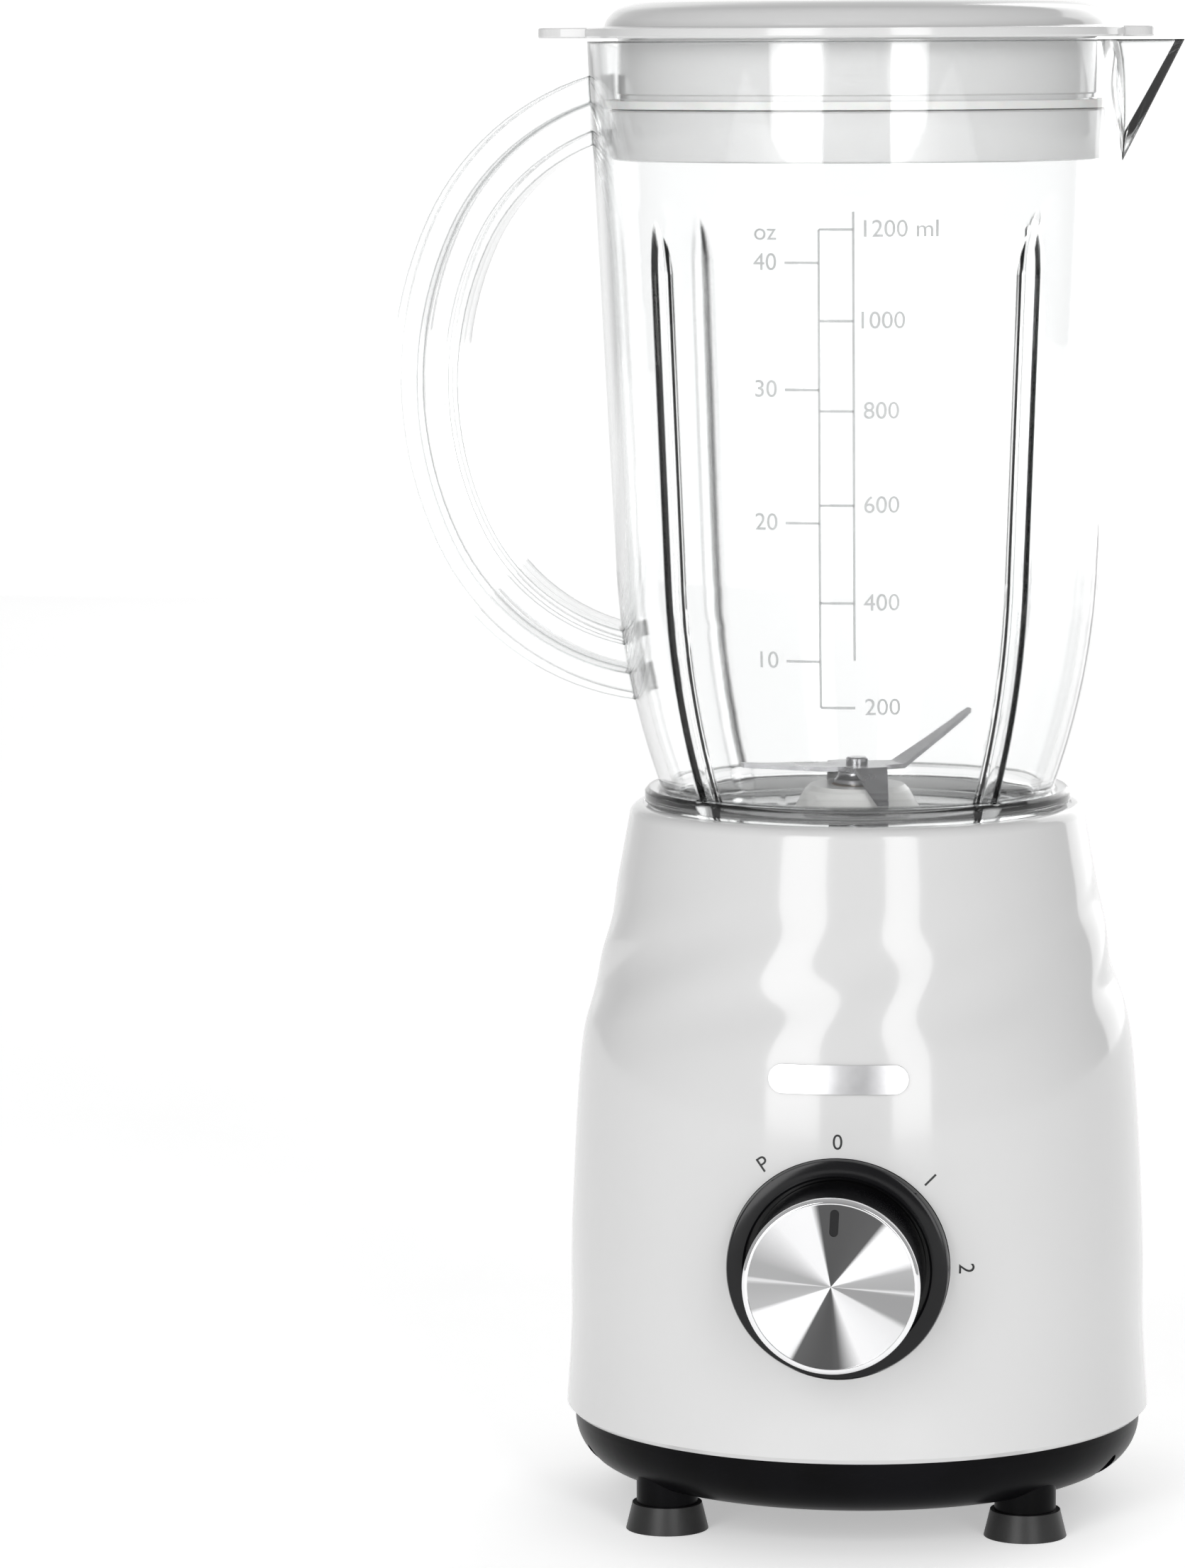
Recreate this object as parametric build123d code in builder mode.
from build123d import *
from math import cos, radians, sin
import os

# Countertop blender: a clear jug with its own blades stands on a motor base with one rotary knob.
# Millimetres. +Z up, Z = 0 is the worktop, and the Z axis is the drive axis of motor, jug and lid.
# The knob faces -Y, the pouring spout +X and the jug's handle -X.

os.makedirs("parts", exist_ok=True)

# ---------------------------------------------------------------- clearances
RUNNING = 0.05  # radial, a shaft in its bearing
PUSHED = 0.15  # radial, a fixed piece pushed into its hole
PLAY = 0.4  # between pieces that move past each other
SCREW_PLAY = 0.1  # radial, a screw in its hole
SCREW_TIP_GAP = 1.0  # past a screw's end in a blind hole
EDGE_R = 0.8  # soft edge on small mouldings

# ---------------------------------------------------------------- base: outside
HOUSING_R = 69.2  # at the bottom rim
HOUSING_H = 144.6  # from the rim to the lip that the jug stands in
HOUSING_WALL = 2.5
COLLAR_R = 51.0  # outside of the lip
FOOT_H = 9.0  # from the worktop to the pan
PAN_H = 13.4  # from the pan's underside to the housing's rim
PAN_WALL = 2.5
PAN_CORNER_R = 11.5
PAN_STEP = 2.0  # the pan is this much smaller than the rim
PAN_LIP_H = 7.6  # tucked inside the rim
KNOB_Z = 67.6
KNOB_INSET = 1.35  # the wall at the knob, inside the rim's radius
HIP_INSET = 3.8
HIP_Z = 108.6
WAIST_OUTSET = 6.0  # the wall below the collar, outside the lip's radius
WAIST_DROP = 19.5
SHOULDER_OUTSET = 2.7
SHOULDER_DROP = 1.8

RIM_Z = FOOT_H + PAN_H
SEAT_Z = RIM_Z + HOUSING_H
PAN_FLOOR_Z = FOOT_H + PAN_WALL
PAN_R = HOUSING_R - PAN_STEP
PAN_LIP_R = HOUSING_R - HOUSING_WALL - PUSHED
WALL_AT_KNOB = HOUSING_R - KNOB_INSET
HIP_R = HOUSING_R - HIP_INSET
WAIST_R = COLLAR_R + WAIST_OUTSET
WAIST_Z = SEAT_Z - WAIST_DROP
SLOPE_R = (HIP_R + WAIST_R) / 2
SLOPE_Z = (HIP_Z + WAIST_Z) / 2
SHOULDER_R = COLLAR_R + SHOULDER_OUTSET
SHOULDER_Z = SEAT_Z - SHOULDER_DROP
RIM_BEVEL = 1.2

# ---------------------------------------------------------------- base: socket for the jug
COLLAR_W = 3.7  # from the lip's outside to the socket
SOCKET_DEPTH = 21.0
LEDGE_DROP = 0.4  # the jug's flange sinks this far into the lip
LIP_WALL = 0.4
LUG_COUNT = 4
LUG_W = 7.0
LUG_PROUD = 0.8
LUG_ROOT = 1.8  # inside the skirt's wall
LUG_H = 9.0
SOCKET_R = COLLAR_R - COLLAR_W
SOCKET_Z = SEAT_Z - SOCKET_DEPTH
SOCKET_UNDER_Z = SOCKET_Z - HOUSING_WALL
FLANGE_R = COLLAR_R - LIP_WALL - PLAY

# ---------------------------------------------------------------- feet and screws
FOOT_INSET = 12.0  # foot centre, inside the rim's radius
FOOT_ANGLE = 43.0
FOOT_POST_R = 7.15
FOOT_POST_H = 3.5  # above the pan's floor
FOOT_PAD_H = 6.2
FOOT_PAD_TOP_R = 8.15
FOOT_PAD_LOW_R = 9.65
FOOT_STEM_R = 3.0
FOOT_STEM_H = 4.6
FOOT_STEM_GAP = 0.4
SCREW_INSET = 6.6
SCREW_ANGLE = 20.0
SCREW_R = 1.6
SCREW_HEAD_R = 3.2
SCREW_HEAD_H = 2.0
SCREW_BOSS_R = 4.4
SCREW_TOWER_R = 3.9
SCREW_LEN = 22.0
BOSS_CAP = 3.0  # closed end of a boss, past its hole
PAN_SCREW_SEAT = 9.0  # the screw heads seat this far above the pan's underside
VENT_COUNT = 12
VENT_POS_R = 30.0
VENT_L = 16.0
VENT_W = 3.0


def four_spots(radius, angle):
    """Four places on a circle, one in each quarter, at an angle from the X axis."""
    turns = (angle, 180 - angle, 180 + angle, 360 - angle)
    return [(radius * cos(radians(t)), radius * sin(radians(t))) for t in turns]


foot_spots = four_spots(HOUSING_R - FOOT_INSET, FOOT_ANGLE)
screw_spots = four_spots(HOUSING_R - SCREW_INSET, SCREW_ANGLE)
BOSS_Z = RIM_Z + PAN_LIP_H
SCREW_SEAT_Z = FOOT_H + PAN_SCREW_SEAT

# ---------------------------------------------------------------- control knob and switch
KNOB_R = 20.1
KNOB_SIDE_GAP = 1.1  # between the knob and the recess around it
BEZEL_W = 4.2
BEZEL_PROUD = 0.75
BEZEL_RECESS = 4.0
BEZEL_PLATE = 2.4
BEZEL_FLANGE_W = 2.6
BEZEL_FLANGE_T = 2.0
BEZEL_FLANGE_GAP = 1.0  # between the flange and the wall's inside
KNOB_PROUD = 20.0
KNOB_WALL = 1.9
KNOB_GAP = 0.6
KNOB_RIM_H = 2.2
KNOB_RIM_W = 1.25
KNOB_RIM_BEVEL = 0.7
KNOB_HUB_R = 6.0
KNOB_HUB_INSET = 2.0  # the hub ends this far inside the barrel
KNOB_DRAFT = 0.1
DISC_RECESS = 0.4
POINTER_L = 6.2
POINTER_W = 2.0
POINTER_INSET = 5.5  # its centre, inside the knob's radius
POINTER_TURN = 3.0  # the knob rests this many degrees past its 0 mark
POINTER_SUNK = 0.25
SWITCH_SIZE = 34.0
SWITCH_DEPTH = 20.0
SWITCH_SHAFT_R = 3.0
SWITCH_NECK_R = 4.9
SWITCH_CORNER_R = 3.0
SHAFT_IN_SWITCH = 12.0

BEZEL_RECESS_R = KNOB_R + KNOB_SIDE_GAP
BEZEL_R = BEZEL_RECESS_R + BEZEL_W
BEZEL_FLANGE_R = BEZEL_R + BEZEL_FLANGE_W
WALL_INSIDE_R = WALL_AT_KNOB - HOUSING_WALL
BEZEL_FLANGE_Y = (WALL_INSIDE_R**2 - BEZEL_FLANGE_R**2) ** 0.5 - BEZEL_FLANGE_GAP
POINTER_POS_R = KNOB_R - POINTER_INSET
BEZEL_Y = WALL_AT_KNOB + BEZEL_PROUD
BEZEL_PLATE_Y = BEZEL_Y - BEZEL_RECESS
KNOB_BACK_Y = BEZEL_PLATE_Y + KNOB_GAP
KNOB_FRONT_Y = BEZEL_Y + KNOB_PROUD
KNOB_FACE_Y = KNOB_FRONT_Y - KNOB_RIM_H
SWITCH_FRONT_Y = BEZEL_FLANGE_Y - BEZEL_FLANGE_T
SWITCH_BACK_Y = SWITCH_FRONT_Y - SWITCH_DEPTH

# ---------------------------------------------------------------- motor
SHAFT_R = 4.0
POST_H = 6.0
POST_X, POST_Y = 29.0, 22.0
DAMPER_H = 4.0
DAMPER_R = 5.2
EAR_T = 3.0
HUB_H = 11.0
HUB_R = 14.0
BEARING_R = 11.0
BEARING_H = 7.0
WINDING_H = 8.0
WINDING_R = 14.5
CORE_H = 32.0
ARMATURE_R = 15.5
AIR_GAP = 0.5
STATOR_X, STATOR_Y = 62.0, 54.0
STATOR_CORNER_R = 8.0
ARMATURE_SLOTS = 12
SLOT_L, SLOT_W = 4.4, 1.6
SLOT_INSET = 2.0  # slot centre, inside the rotor's radius
COMMUTATOR_H = 12.0
COMMUTATOR_R = 10.5
COMMUTATOR_BARS = 24
BAR_CUT_L, BAR_CUT_W = 2.0, 0.5
LOWER_HUB_H = 8.0
LOWER_PLATE_T = 4.0
LOWER_PLATE_R = 31.0
FAN_H = 10.0
FAN_R = 29.0
FAN_BLADES = 9
FAN_DISC_T = 2.0
FAN_BLADE_T = 1.4
FAN_BLADE_GAP = 0.3  # from a blade's end to the disc's edge and to the hub
SHAFT_TAIL = 2.0  # the shaft below the fan
SHAFT_CLEAR = 1.0  # radial, a casting around the shaft
BRIDGE_W = 36.0
EAR_R = 6.0
LOWER_VENTS = 6
LEG_X, LEG_W, LEG_T = 26.0, 16.0, 6.0
COIL_INNER_R, COIL_OUTER_R = 17.0, 24.0
COIL_HALF_ANGLE, COIL_CORE_ANGLE = 55.0, 40.0
COIL_END_H = 7.0
COIL_GAP_ANGLE = 1.0  # the windows are this much wider than the coils, each side
BRUSH_W, BRUSH_H, BRUSH_L = 6.0, 5.0, 9.0
HOLDER_WALL = 1.0
HOLDER_L = 11.0
HOLDER_FOOT_L = 4.0
HOLDER_FOOT_INSET = 3.0  # foot centre, inside the holder's outer end
BRUSH_TIP_GAP = 0.3
HOLDER_GAP = 0.6  # the brush stands this far out of its holder
MOTOR_SCREW_R = 1.9
MOTOR_SCREW_HEAD_R, MOTOR_SCREW_HEAD_H = 3.6, 3.0

# The motor hangs below the socket, and what is left of the height is shared by its five gaps.
MOTOR_USED = (POST_H + DAMPER_H + HUB_H + 2 * WINDING_H + CORE_H + COMMUTATOR_H
              + LOWER_HUB_H + FAN_H)
MOTOR_GAP = (SOCKET_UNDER_Z - PAN_FLOOR_Z - MOTOR_USED) / 5
DAMPER_TOP_Z = SOCKET_UNDER_Z - POST_H
HUB_TOP_Z = DAMPER_TOP_Z - DAMPER_H
HUB_LOW_Z = HUB_TOP_Z - HUB_H
CORE_TOP_Z = HUB_LOW_Z - MOTOR_GAP - WINDING_H
CORE_LOW_Z = CORE_TOP_Z - CORE_H
COMMUTATOR_TOP_Z = CORE_LOW_Z - WINDING_H - MOTOR_GAP
COMMUTATOR_LOW_Z = COMMUTATOR_TOP_Z - COMMUTATOR_H
LOWER_HUB_TOP_Z = COMMUTATOR_LOW_Z - MOTOR_GAP
LOWER_PLATE_Z = LOWER_HUB_TOP_Z - LOWER_HUB_H
FAN_TOP_Z = LOWER_PLATE_Z - MOTOR_GAP
FAN_LOW_Z = FAN_TOP_Z - FAN_H
BRUSH_Z = (COMMUTATOR_TOP_Z + COMMUTATOR_LOW_Z) / 2

# ---------------------------------------------------------------- couplings
COUPLING_R = 13.5
COUPLING_FLOOR = 2.2
COUPLING_DEPTH = 7.0
STAR_LOBES = 6
STAR_R = 8.6
STAR_LOBE_R = 2.0
STAR_CORE_R = 7.2
COUPLING_Z = SOCKET_Z + 2 * PLAY
COUPLING_SEAT_Z = COUPLING_Z + COUPLING_FLOOR
COUPLING_TOP_Z = COUPLING_SEAT_Z + COUPLING_DEPTH
SEAL_R = 9.0

# ---------------------------------------------------------------- jug
JUG_H = 178.8  # from the seat to the rim
JUG_TOP_R = 63.2
JUG_BEND_R = 56.8
JUG_BEND_H = 55.0
JUG_FOOT_INSET = 3.8  # the wall's foot, inside the flange's radius
JUG_WALL = 2.9
FLANGE_H = 3.9
FLANGE_BEVEL = 0.8
SKIRT_PLAY = 0.5  # radial, the skirt in the socket
SKIRT_END_GAP = 1.0  # between the skirt's end and the socket's floor
FLANGE_GAP = 0.3  # between the flange and its ledge
SKIRT_R = SOCKET_R - SKIRT_PLAY
SKIRT_WALL = 2.8
FLOOR_DROP = 1.0  # the jug's inner floor lies this far below the seat
FLOOR_T = 3.6
FLOOR_CORNER = 5.0
FLOOR_CORNER_CUT = 0.6  # the corner's arc ends this much short of a quarter
FLUTE_COUNT = 4
FLUTE_R = 2.3
FLUTE_TOP_DROP = 38.8
FLUTE_FADE = 14.0
FLUTE_OUT = 0.3
FLUTE_SKIN = 2.3  # wall left behind a flute
SPOUT_REACH = 76.0
SPOUT_DROP = 28.8
SPOUT_ROOT_INSET = 14.0  # its root, inside the rim's radius
SPOUT_HALF_W = 30.0  # at its root
SPOUT_LOW_W = 2.0  # half its width at its lower end
SPOUT_LOW_SUNK = 0.3
SPOUT_HOLLOW_W = 1.0
HANDLE_REACH = 108.6
HANDLE_MID_H = 99.0
HANDLE_MID_R = 92.0
HANDLE_END_R = 61.7
HANDLE_TURN = 25.0  # half of the middle arc, in degrees
HANDLE_SWEEP = 88.0  # the end arcs run on to this angle
HANDLE_W = 22.0
HANDLE_OUTER_T = 6.0
HANDLE_INNER_T = 3.2
HANDLE_GAP = 6.3
HANDLE_WEB_T = 3.0

JUG_FOOT_R = FLANGE_R - JUG_FOOT_INSET
FLANGE_LOW_Z = SEAT_Z - LEDGE_DROP + FLANGE_GAP
JUG_FOOT_Z = FLANGE_LOW_Z + FLANGE_H
JUG_RIM_Z = SEAT_Z + JUG_H
JUG_BEND_Z = SEAT_Z + JUG_BEND_H
JUG_FLOOR_Z = SEAT_Z - FLOOR_DROP
JUG_UNDER_Z = JUG_FLOOR_Z - FLOOR_T
SKIRT_LOW_Z = SOCKET_Z + SKIRT_END_GAP

# ---------------------------------------------------------------- blades
HOLDER_R, HOLDER_TOP_R, HOLDER_H = 14.85, 12.3, 5.5
HOLDER_BEVEL_H, HOLDER_BEVEL = 1.0, 1.2
BUSH_WALL, STEM_WALL = 2.0, 2.9
GASKET_GAP, GASKET_W, GASKET_H = 1.3, 3.0, 1.2
NUT_WALL, NUT_H = 4.1, 4.4
STEM_OUT = 0.6  # the stem's end below its nut
BLADE_T = 1.1
BLADE_H = 9.2  # the blade's underside above the jug's floor
BLADE_TURN = 24.4
BLADE_ROOT_R = 10.4
BLADE_DIP_ROOT_R = 9.4
PLATE_R = 6.6
BLADE_TIP_R = 28.6
BLADE_HIGH = 12.0  # rise of the tip that is bent up
BLADE_LOW = 1.3  # rise of the tip opposite
BLADE_DIP_R, BLADE_DIP = 17.6, 7.6
BLADE_ROOT_W, BLADE_TIP_W = 10.0, 2.4
TANG_R = 1.6
RIVET_R, RIVET_H, RIVET_BEVEL = 2.6, 1.6, 0.3
SPACER_WALL = 1.4
SPACER_FOOT_H = 0.8
SPACER_WAIST = 0.9  # the neck's middle, inside its foot's radius
SPACER_TOP_INSET = 0.7
BUSH_R = SHAFT_R + BUSH_WALL
STEM_R = BUSH_R + STEM_WALL
GASKET_IN_R = STEM_R + GASKET_GAP
GASKET_OUT_R = GASKET_IN_R + GASKET_W
NUT_R = STEM_R + NUT_WALL
SPACER_R = SHAFT_R + SPACER_WALL
BLADE_Z = JUG_FLOOR_Z + BLADE_H
HOLDER_TOP_Z = JUG_FLOOR_Z + HOLDER_H
NUT_LOW_Z = JUG_UNDER_Z - NUT_H
STEM_LOW_Z = NUT_LOW_Z - STEM_OUT
SPACER_LOW_Z = HOLDER_TOP_Z + PLAY

# ---------------------------------------------------------------- lid
LID_LIFT = 0.6  # the lid's flange above the jug's rim
LID_FLANGE_R = 64.0
LID_FLANGE_T = 2.4
LID_DOME_R = 59.3
LID_TOP_R = 48.8
LID_TOP_H = 6.0
LID_WALL = 2.0
LID_PLUG_GAP = 3.6  # between the upper part of the plug and the jug's wall
LID_SKIRT_GAP = 1.1  # between the lower part of the plug and the jug's wall
LID_PLUG_H = 16.0
LID_SKIRT_H = 12.0
LID_EAR_BACK, LID_EAR_FRONT = 74.2, 69.2
LID_EAR_W = 30.0
LID_EAR_ROOT = 1.5  # the ear starts this far inside the dome
LID_EAR_CORNER, LID_EAR_CORNER_L = 6.0, 3.6
LID_EAR_TAPER = 2.5
LID_STEP_DROP = 0.4
LID_SKIRT_BEVEL = 1.2
LID_RIM_DROP = 4.4  # the plug's hollow ends this far below the top
LID_BULGE = 0.3  # the dome's rounded edge bulges most at this share of its width and height
SEAL_RING_H = 1.8
LID_Z = JUG_RIM_Z + LID_LIFT
JUG_TAPER = (JUG_TOP_R - JUG_BEND_R) / (JUG_RIM_Z - JUG_BEND_Z)


def jug_inside_r(z):
    """Radius of the jug's inner wall at a height in its straight upper part."""
    return JUG_TOP_R - JUG_TAPER * (JUG_RIM_Z - z) - JUG_WALL


# ---------------------------------------------------------------- fittings
GLAND_Z = RIM_Z + 20.0
GLAND_R = 7.0
GLAND_BORE_R = 3.5
GLAND_COLLAR_R = 9.5
GLAND_NUT_R = 9.6
GLAND_WALL_INSET = 1.085  # the wall at the gland, inside the rim's radius
GLAND_IN = 11.0  # its length inside the wall's face
GLAND_STEP = 0.7
GLAND_COLLAR_T = 1.6
GLAND_NOSE = 3.0
GLAND_NUT_IN, GLAND_NUT_T = 10.0, 4.0
GLAND_WALL_R = HOUSING_R - GLAND_WALL_INSET
PLUNGER_R = 2.5
PLUNGER_Y = SKIRT_R - SKIRT_WALL
PLUNGER_COLLAR_R, PLUNGER_COLLAR_T = 4.2, 1.5
PLUNGER_TRAVEL = 2.0
PLUNGER_GUIDE = 0.3
MICRO_X, MICRO_Y, MICRO_H = 30.0, 9.0, 10.0
MICRO_POST_X = 11.5
MICRO_POST_R = 2.6
MICRO_SCREW_R = 1.2
MICRO_SCREW_HEAD_R, MICRO_SCREW_HEAD_H = 2.4, 1.6
MICRO_SCREW_IN = 7.0  # its length in the post
MICRO_DROP = 13.5  # the switch's top below the socket's floor
COLLAR_DROP = 6.0  # the plunger's collar below the socket's floor
SPRING_R, SPRING_WIRE = 3.3, 0.25
SPRING_TURNS = 4
SPRING_SEAT = 0.02
BADGE_L, BADGE_W, BADGE_T = 32.0, 6.5, 0.7
BADGE_GLUE = 0.05
BADGE_Z = 111.0
MICRO_TOP_Z = SOCKET_UNDER_Z - MICRO_DROP
COLLAR_LOW_Z = SOCKET_UNDER_Z - COLLAR_DROP
PLUNGER_LOW_Z = MICRO_TOP_Z + PLUNGER_TRAVEL + 2 * PLAY


def outline(outset=0.0):
    """The housing's side from the rim to the shoulder, with a soft hip under the waist."""
    return [
        (HOUSING_R + outset, RIM_Z + RIM_BEVEL),
        (GLAND_WALL_R + outset, GLAND_Z),
        (WALL_AT_KNOB + outset, KNOB_Z),
        (HIP_R + outset, HIP_Z),
        (SLOPE_R + outset, SLOPE_Z),
        (WAIST_R + outset, WAIST_Z),
        (SHOULDER_R + outset, SHOULDER_Z),
    ]


KNOB_AXIS = Axis((0, 0, KNOB_Z), (0, 1, 0))
GLAND_AXIS = Axis((0, 0, GLAND_Z), (0, 1, 0))
KNOB_PLANE = Plane(origin=(0, 0, KNOB_Z), x_dir=(1, 0, 0), z_dir=(0, -1, 0))
GLAND_PLANE = Plane(origin=(0, 0, GLAND_Z), x_dir=(1, 0, 0), z_dir=(0, 1, 0))

# ================================================================ motor_housing
# One injection moulding: the side wall, the shoulder, the socket that the jug drops into and its
# floor. Bosses inside take the pan's screws from below, and posts under the floor carry the motor.
with BuildPart() as motor_housing:
    with BuildSketch(Plane.XZ):
        with BuildLine():
            side = Spline(*outline())
            Polyline(
                side @ 1, (COLLAR_R, SEAT_Z), (COLLAR_R - LIP_WALL, SEAT_Z),
                (COLLAR_R - LIP_WALL, SEAT_Z - LEDGE_DROP), (SOCKET_R, SEAT_Z - LEDGE_DROP),
                (SOCKET_R, SOCKET_Z), (SEAL_R, SOCKET_Z), (SEAL_R, SOCKET_UNDER_Z),
                (SOCKET_R + HOUSING_WALL, SOCKET_UNDER_Z),
                (SOCKET_R + HOUSING_WALL, SEAT_Z - 2 * HOUSING_WALL),
                (SHOULDER_R - HOUSING_WALL, SEAT_Z - 2 * HOUSING_WALL),
            )
            inner = Spline(
                (SHOULDER_R - HOUSING_WALL, SEAT_Z - 2 * HOUSING_WALL),
                *[(r, z) for r, z in reversed(outline(-HOUSING_WALL)[1:-1])],
                (HOUSING_R - HOUSING_WALL, BOSS_Z + PLAY),
            )
            Polyline(
                inner @ 1, (HOUSING_R - HOUSING_WALL, RIM_Z), (HOUSING_R - RIM_BEVEL, RIM_Z), side @ 0
            )
        make_face()
    revolve(axis=Axis.Z)
    with BuildSketch(Plane.XY.offset(BOSS_Z)):
        with Locations(*screw_spots):
            Circle(SCREW_BOSS_R)
    extrude(amount=SCREW_LEN + SCREW_SEAT_Z + SCREW_TIP_GAP + BOSS_CAP - BOSS_Z)
    with BuildSketch(Plane.XY.offset(BOSS_Z)):
        with Locations(*screw_spots):
            Circle(SCREW_R + SCREW_PLAY)
    extrude(amount=SCREW_LEN + SCREW_SEAT_Z + SCREW_TIP_GAP - BOSS_Z, mode=Mode.SUBTRACT)
    with BuildSketch(Plane.XY.offset(SOCKET_UNDER_Z)):
        with GridLocations(2 * POST_X, 2 * POST_Y, 2, 2):
            Circle(DAMPER_R)
        with Locations((-MICRO_POST_X, PLUNGER_Y), (MICRO_POST_X, PLUNGER_Y)):
            Circle(MICRO_POST_R)
    extrude(amount=-POST_H)
    with BuildSketch(Plane.XY.offset(SOCKET_UNDER_Z - POST_H)):
        with Locations((-MICRO_POST_X, PLUNGER_Y), (MICRO_POST_X, PLUNGER_Y)):
            Circle(MICRO_POST_R)
    extrude(amount=MICRO_TOP_Z - SOCKET_UNDER_Z + POST_H)
    with BuildSketch(Plane.XY.offset(MICRO_TOP_Z)):
        with Locations((-MICRO_POST_X, PLUNGER_Y), (MICRO_POST_X, PLUNGER_Y)):
            Circle(MICRO_SCREW_R + SCREW_PLAY)
    extrude(amount=MICRO_SCREW_IN + SCREW_TIP_GAP, mode=Mode.SUBTRACT)
    with BuildSketch(Plane.XY.offset(DAMPER_TOP_Z)):
        with GridLocations(2 * POST_X, 2 * POST_Y, 2, 2):
            Circle(MOTOR_SCREW_R + SCREW_PLAY)
    extrude(amount=POST_H + SCREW_TIP_GAP, mode=Mode.SUBTRACT)
    with BuildSketch(Plane.XY.offset(SOCKET_UNDER_Z)):
        with Locations((0, PLUNGER_Y)):
            Circle(PLUNGER_R + PLUNGER_GUIDE)
    extrude(amount=HOUSING_WALL, mode=Mode.SUBTRACT)
    with BuildSketch(Plane.XY.offset(SEAT_Z - LEDGE_DROP)):
        with PolarLocations(SOCKET_R, LUG_COUNT, start_angle=45):
            Rectangle(2 * (LUG_PROUD + PLAY), LUG_W + 2 * PLAY)
    extrude(amount=-(SOCKET_DEPTH - LEDGE_DROP), mode=Mode.SUBTRACT)
    with BuildSketch(KNOB_PLANE.offset(BEZEL_FLANGE_Y / 2)):
        Circle(BEZEL_R + PUSHED)
    extrude(amount=HOUSING_R, mode=Mode.SUBTRACT)
    with BuildSketch(GLAND_PLANE.offset(HOUSING_R / 2)):
        Circle(GLAND_R + PUSHED)
    extrude(amount=HOUSING_R, mode=Mode.SUBTRACT)
motor_housing.part.label = "motor_housing"
export_step(motor_housing.part, "parts/motor_housing.step")

# ================================================================ bottom_pan
# A shallow dish under the housing, with the foot posts, four screw towers and the fan's vents.
PAN_CORNER_Z = FOOT_H + PAN_CORNER_R
PAN_INNER_R = PAN_LIP_R - PAN_WALL
PAN_INNER_CORNER_R = PAN_CORNER_Z - PAN_FLOOR_Z
with BuildPart() as pan_cavity:
    with BuildSketch(Plane.XZ):
        with BuildLine():
            Polyline(
                (0, BOSS_Z), (0, PAN_FLOOR_Z), (PAN_INNER_R - PAN_INNER_CORNER_R, PAN_FLOOR_Z)
            )
            RadiusArc(
                (PAN_INNER_R - PAN_INNER_CORNER_R, PAN_FLOOR_Z), (PAN_INNER_R, PAN_CORNER_Z),
                -PAN_INNER_CORNER_R,
            )
            Polyline((PAN_INNER_R, PAN_CORNER_Z), (PAN_INNER_R, BOSS_Z), (0, BOSS_Z))
        make_face()
    revolve(axis=Axis.Z)
    with BuildSketch(Plane.XY.offset(FOOT_H)):
        with Locations(*screw_spots):
            Circle(SCREW_TOWER_R)
    extrude(amount=BOSS_Z - FOOT_H, mode=Mode.SUBTRACT)
    with BuildSketch(Plane.XY.offset(FOOT_H)):
        with Locations(*foot_spots):
            Circle(FOOT_POST_R)
    extrude(amount=PAN_WALL + FOOT_POST_H, mode=Mode.SUBTRACT)

with BuildPart() as bottom_pan:
    with BuildSketch(Plane.XZ):
        with BuildLine():
            Polyline((0, BOSS_Z), (0, FOOT_H), (PAN_R - PAN_CORNER_R, FOOT_H))
            RadiusArc((PAN_R - PAN_CORNER_R, FOOT_H), (PAN_R, PAN_CORNER_Z), -PAN_CORNER_R)
            Polyline(
                (PAN_R, PAN_CORNER_Z), (PAN_R, RIM_Z), (PAN_LIP_R, RIM_Z), (PAN_LIP_R, BOSS_Z), (0, BOSS_Z)
            )
        make_face()
    revolve(axis=Axis.Z)
    with BuildSketch(Plane.XY.offset(FOOT_PAD_H)):
        with Locations(*foot_spots):
            Circle(FOOT_POST_R)
    extrude(amount=FOOT_H + PAN_WALL + FOOT_POST_H - FOOT_PAD_H)
    add(pan_cavity.part, mode=Mode.SUBTRACT)
    with BuildSketch(Plane.XY.offset(FOOT_PAD_H)):
        with Locations(*foot_spots):
            Circle(FOOT_STEM_R + SCREW_PLAY)
    extrude(amount=FOOT_STEM_H + FOOT_STEM_GAP, mode=Mode.SUBTRACT)
    with BuildSketch(Plane.XY.offset(SCREW_SEAT_Z)):
        with Locations(*screw_spots):
            Circle(SCREW_HEAD_R + 2 * PUSHED)
    extrude(amount=-SCREW_SEAT_Z, mode=Mode.SUBTRACT)
    with BuildSketch(Plane.XY.offset(SCREW_SEAT_Z)):
        with Locations(*screw_spots):
            Circle(SCREW_R + SCREW_PLAY)
    extrude(amount=SCREW_LEN, mode=Mode.SUBTRACT)
    with BuildSketch(Plane.XY.offset(FOOT_H)):
        with PolarLocations(VENT_POS_R, VENT_COUNT):
            SlotOverall(VENT_L, VENT_W)
    extrude(amount=PAN_WALL, mode=Mode.SUBTRACT)
bottom_pan.part.label = "bottom_pan"
export_step(bottom_pan.part, "parts/bottom_pan.step")

# ================================================================ rubber_feet
# Four soft pads, each with a stem that is pushed into its post.
with BuildPart() as rubber_feet:
    with Locations(*[(x, y, FOOT_PAD_H / 2) for x, y in foot_spots]):
        Cone(FOOT_PAD_LOW_R, FOOT_PAD_TOP_R, FOOT_PAD_H)
    with Locations(*[(x, y, FOOT_PAD_H + FOOT_STEM_H / 2) for x, y in foot_spots]):
        Cylinder(FOOT_STEM_R, FOOT_STEM_H)
rubber_feet.part.label = "rubber_feet"
export_step(rubber_feet.part, "parts/rubber_feet.step")

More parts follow.
